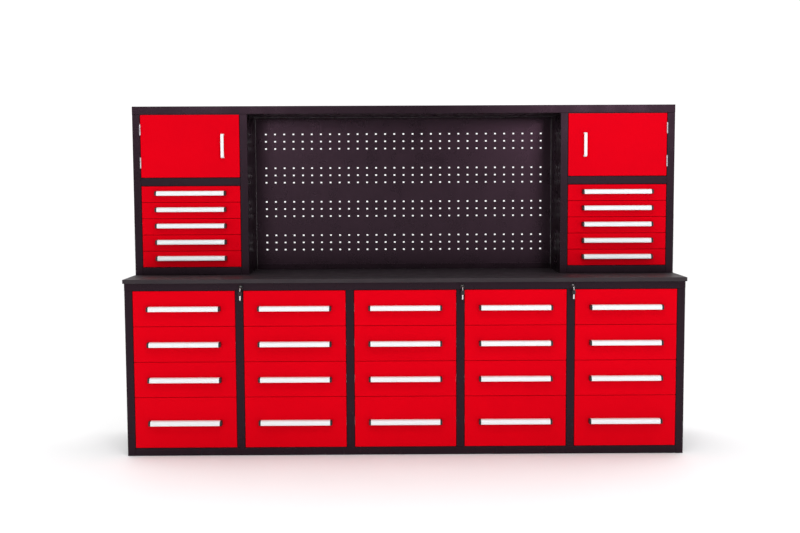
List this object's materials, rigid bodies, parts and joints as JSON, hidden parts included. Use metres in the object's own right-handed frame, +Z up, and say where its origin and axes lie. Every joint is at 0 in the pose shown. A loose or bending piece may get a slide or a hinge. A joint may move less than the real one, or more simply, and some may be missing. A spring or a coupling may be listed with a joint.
{
  "type": "workbench with drawers",
  "caption": "Long steel workbench: base of drawer columns, lipped worktop, and a hutch of two drawer towers with cupboards either side of a perforated tool board.",
  "frame": {"origin": "on the floor, under the middle of the whole bounding box", "axes": "+X towards the right of a person facing the bench, +Y towards the wall behind it, +Z up; the drawers open along -Y"},
  "size_m": [2.85, 0.6798, 1.7875],
  "materials": {
    "black_powder_coat": "black powder coat, satin, fine orange peel",
    "red_powder_coat": "red powder coat, semi-gloss",
    "zinc_plated_steel": "zinc plated, fine rolled grain",
    "chrome": "nickel plated die casting",
    "worktop_board": "raw fibreboard",
    "handle_aluminium": "pale satin anodised extrusion",
    "black_plastic": "moulded, fine spark texture"
  },
  "bodies": {
    "root": {"base_left_side": "black_powder_coat", "base_right_side": "black_powder_coat", "base_back_panel": "black_powder_coat", "base_floor": "black_powder_coat", "base_top_panel": "black_powder_coat", "base_partition_1": "black_powder_coat", "base_partition_2": "black_powder_coat", "base_partition_3": "black_powder_coat", "base_partition_4": "black_powder_coat", "left_tower": "black_powder_coat", "right_tower": "black_powder_coat", "hutch_beam": "black_powder_coat", "tool_board": "black_powder_coat", "worktop_cover": "black_powder_coat", "worktop_board": "worktop_board", "left_door_lower_hinge": "zinc_plated_steel", "left_door_upper_hinge": "zinc_plated_steel", "right_door_lower_hinge": "zinc_plated_steel", "right_door_upper_hinge": "zinc_plated_steel", "lock_cylinder_1": "chrome", "lock_cylinder_2": "chrome", "lock_cylinder_3": "chrome"},
    "base_drawer_1_4": {"base_drawer_1_4": "red_powder_coat"},
    "base_drawer_1_3": {"base_drawer_1_3": "red_powder_coat"},
    "base_drawer_1_2": {"base_drawer_1_2": "red_powder_coat"},
    "base_drawer_1_1": {"base_drawer_1_1": "red_powder_coat"},
    "base_drawer_2_4": {"base_drawer_2_4": "red_powder_coat"},
    "base_drawer_2_3": {"base_drawer_2_3": "red_powder_coat"},
    "base_drawer_2_2": {"base_drawer_2_2": "red_powder_coat"},
    "base_drawer_2_1": {"base_drawer_2_1": "red_powder_coat"},
    "base_drawer_3_4": {"base_drawer_3_4": "red_powder_coat"},
    "base_drawer_3_3": {"base_drawer_3_3": "red_powder_coat"},
    "base_drawer_3_2": {"base_drawer_3_2": "red_powder_coat"},
    "base_drawer_3_1": {"base_drawer_3_1": "red_powder_coat"},
    "base_drawer_4_4": {"base_drawer_4_4": "red_powder_coat"},
    "base_drawer_4_3": {"base_drawer_4_3": "red_powder_coat"},
    "base_drawer_4_2": {"base_drawer_4_2": "red_powder_coat"},
    "base_drawer_4_1": {"base_drawer_4_1": "red_powder_coat"},
    "base_drawer_5_4": {"base_drawer_5_4": "red_powder_coat"},
    "base_drawer_5_3": {"base_drawer_5_3": "red_powder_coat"},
    "base_drawer_5_2": {"base_drawer_5_2": "red_powder_coat"},
    "base_drawer_5_1": {"base_drawer_5_1": "red_powder_coat"},
    "left_drawer_5": {"left_drawer_5": "red_powder_coat"},
    "left_drawer_4": {"left_drawer_4": "red_powder_coat"},
    "left_drawer_3": {"left_drawer_3": "red_powder_coat"},
    "left_drawer_2": {"left_drawer_2": "red_powder_coat"},
    "left_drawer_1": {"left_drawer_1": "red_powder_coat"},
    "left_door": {"left_door": "red_powder_coat"},
    "right_drawer_5": {"right_drawer_5": "red_powder_coat"},
    "right_drawer_4": {"right_drawer_4": "red_powder_coat"},
    "right_drawer_3": {"right_drawer_3": "red_powder_coat"},
    "right_drawer_2": {"right_drawer_2": "red_powder_coat"},
    "right_drawer_1": {"right_drawer_1": "red_powder_coat"},
    "right_door": {"right_door": "red_powder_coat"},
    "lock_key_1": {"lock_key_1": "chrome"},
    "spare_key_1": {"spare_key_1": "chrome"},
    "lock_key_2": {"lock_key_2": "chrome"},
    "spare_key_2": {"spare_key_2": "chrome"},
    "lock_key_3": {"lock_key_3": "chrome"},
    "spare_key_3": {"spare_key_3": "chrome"}
  },
  "joints": [
    {"name": "base_drawer_1_4_slide", "type": "slide", "parent": "root", "child": "base_drawer_1_4", "axis": [0, -1, 0], "range_m": [0, 0.4]},
    {"name": "base_drawer_1_3_slide", "type": "slide", "parent": "root", "child": "base_drawer_1_3", "axis": [0, -1, 0], "range_m": [0, 0.4]},
    {"name": "base_drawer_1_2_slide", "type": "slide", "parent": "root", "child": "base_drawer_1_2", "axis": [0, -1, 0], "range_m": [0, 0.4]},
    {"name": "base_drawer_1_1_slide", "type": "slide", "parent": "root", "child": "base_drawer_1_1", "axis": [0, -1, 0], "range_m": [0, 0.4]},
    {"name": "base_drawer_2_4_slide", "type": "slide", "parent": "root", "child": "base_drawer_2_4", "axis": [0, -1, 0], "range_m": [0, 0.4]},
    {"name": "base_drawer_2_3_slide", "type": "slide", "parent": "root", "child": "base_drawer_2_3", "axis": [0, -1, 0], "range_m": [0, 0.4]},
    {"name": "base_drawer_2_2_slide", "type": "slide", "parent": "root", "child": "base_drawer_2_2", "axis": [0, -1, 0], "range_m": [0, 0.4]},
    {"name": "base_drawer_2_1_slide", "type": "slide", "parent": "root", "child": "base_drawer_2_1", "axis": [0, -1, 0], "range_m": [0, 0.4]},
    {"name": "base_drawer_3_4_slide", "type": "slide", "parent": "root", "child": "base_drawer_3_4", "axis": [0, -1, 0], "range_m": [0, 0.4]},
    {"name": "base_drawer_3_3_slide", "type": "slide", "parent": "root", "child": "base_drawer_3_3", "axis": [0, -1, 0], "range_m": [0, 0.4]},
    {"name": "base_drawer_3_2_slide", "type": "slide", "parent": "root", "child": "base_drawer_3_2", "axis": [0, -1, 0], "range_m": [0, 0.4]},
    {"name": "base_drawer_3_1_slide", "type": "slide", "parent": "root", "child": "base_drawer_3_1", "axis": [0, -1, 0], "range_m": [0, 0.4]},
    {"name": "base_drawer_4_4_slide", "type": "slide", "parent": "root", "child": "base_drawer_4_4", "axis": [0, -1, 0], "range_m": [0, 0.4]},
    {"name": "base_drawer_4_3_slide", "type": "slide", "parent": "root", "child": "base_drawer_4_3", "axis": [0, -1, 0], "range_m": [0, 0.4]},
    {"name": "base_drawer_4_2_slide", "type": "slide", "parent": "root", "child": "base_drawer_4_2", "axis": [0, -1, 0], "range_m": [0, 0.4]},
    {"name": "base_drawer_4_1_slide", "type": "slide", "parent": "root", "child": "base_drawer_4_1", "axis": [0, -1, 0], "range_m": [0, 0.4]},
    {"name": "base_drawer_5_4_slide", "type": "slide", "parent": "root", "child": "base_drawer_5_4", "axis": [0, -1, 0], "range_m": [0, 0.4]},
    {"name": "base_drawer_5_3_slide", "type": "slide", "parent": "root", "child": "base_drawer_5_3", "axis": [0, -1, 0], "range_m": [0, 0.4]},
    {"name": "base_drawer_5_2_slide", "type": "slide", "parent": "root", "child": "base_drawer_5_2", "axis": [0, -1, 0], "range_m": [0, 0.4]},
    {"name": "base_drawer_5_1_slide", "type": "slide", "parent": "root", "child": "base_drawer_5_1", "axis": [0, -1, 0], "range_m": [0, 0.4]},
    {"name": "left_drawer_5_slide", "type": "slide", "parent": "root", "child": "left_drawer_5", "axis": [0, -1, 0], "range_m": [0, 0.23]},
    {"name": "left_drawer_4_slide", "type": "slide", "parent": "root", "child": "left_drawer_4", "axis": [0, -1, 0], "range_m": [0, 0.23]},
    {"name": "left_drawer_3_slide", "type": "slide", "parent": "root", "child": "left_drawer_3", "axis": [0, -1, 0], "range_m": [0, 0.23]},
    {"name": "left_drawer_2_slide", "type": "slide", "parent": "root", "child": "left_drawer_2", "axis": [0, -1, 0], "range_m": [0, 0.23]},
    {"name": "left_drawer_1_slide", "type": "slide", "parent": "root", "child": "left_drawer_1", "axis": [0, -1, 0], "range_m": [0, 0.23]},
    {"name": "left_door_hinge", "type": "hinge", "parent": "root", "child": "left_door", "pos_m": [-1.3781, -0.0356, 1.5804], "axis": [0, 0, -1], "range_deg": [0, 110]},
    {"name": "right_drawer_5_slide", "type": "slide", "parent": "root", "child": "right_drawer_5", "axis": [0, -1, 0], "range_m": [0, 0.23]},
    {"name": "right_drawer_4_slide", "type": "slide", "parent": "root", "child": "right_drawer_4", "axis": [0, -1, 0], "range_m": [0, 0.23]},
    {"name": "right_drawer_3_slide", "type": "slide", "parent": "root", "child": "right_drawer_3", "axis": [0, -1, 0], "range_m": [0, 0.23]},
    {"name": "right_drawer_2_slide", "type": "slide", "parent": "root", "child": "right_drawer_2", "axis": [0, -1, 0], "range_m": [0, 0.23]},
    {"name": "right_drawer_1_slide", "type": "slide", "parent": "root", "child": "right_drawer_1", "axis": [0, -1, 0], "range_m": [0, 0.23]},
    {"name": "right_door_hinge", "type": "hinge", "parent": "root", "child": "right_door", "pos_m": [1.3781, -0.0356, 1.5804], "axis": [0, 0, 1], "range_deg": [0, 110]},
    {"name": "lock_key_1_turn", "type": "hinge", "parent": "root", "child": "lock_key_1", "pos_m": [-0.8299, -0.2951, 0.8635], "axis": [0, 1, 0], "range_deg": [0, 90]},
    {"name": "spare_key_1_hang", "type": "hinge", "parent": "lock_key_1", "child": "spare_key_1", "pos_m": [-0.8299, -0.3281, 0.8415], "axis": [0, 1, 0], "range_deg": [-90, 0]},
    {"name": "lock_key_2_turn", "type": "hinge", "parent": "root", "child": "lock_key_2", "pos_m": [0.2893, -0.2951, 0.8635], "axis": [0, 1, 0], "range_deg": [0, 90]},
    {"name": "spare_key_2_hang", "type": "hinge", "parent": "lock_key_2", "child": "spare_key_2", "pos_m": [0.2893, -0.3281, 0.8415], "axis": [0, 1, 0], "range_deg": [-90, 0]},
    {"name": "lock_key_3_turn", "type": "hinge", "parent": "root", "child": "lock_key_3", "pos_m": [0.8489, -0.2951, 0.8635], "axis": [0, 1, 0], "range_deg": [0, 90]},
    {"name": "spare_key_3_hang", "type": "hinge", "parent": "lock_key_3", "child": "spare_key_3", "pos_m": [0.8489, -0.3281, 0.8415], "axis": [0, 1, 0], "range_deg": [-90, 0]}
  ],
  "couplings": [
    {"joint": "spare_key_1_hang", "follows": "lock_key_1_turn", "ratio": -1},
    {"joint": "spare_key_2_hang", "follows": "lock_key_2_turn", "ratio": -1},
    {"joint": "spare_key_3_hang", "follows": "lock_key_3_turn", "ratio": -1}
  ]
}
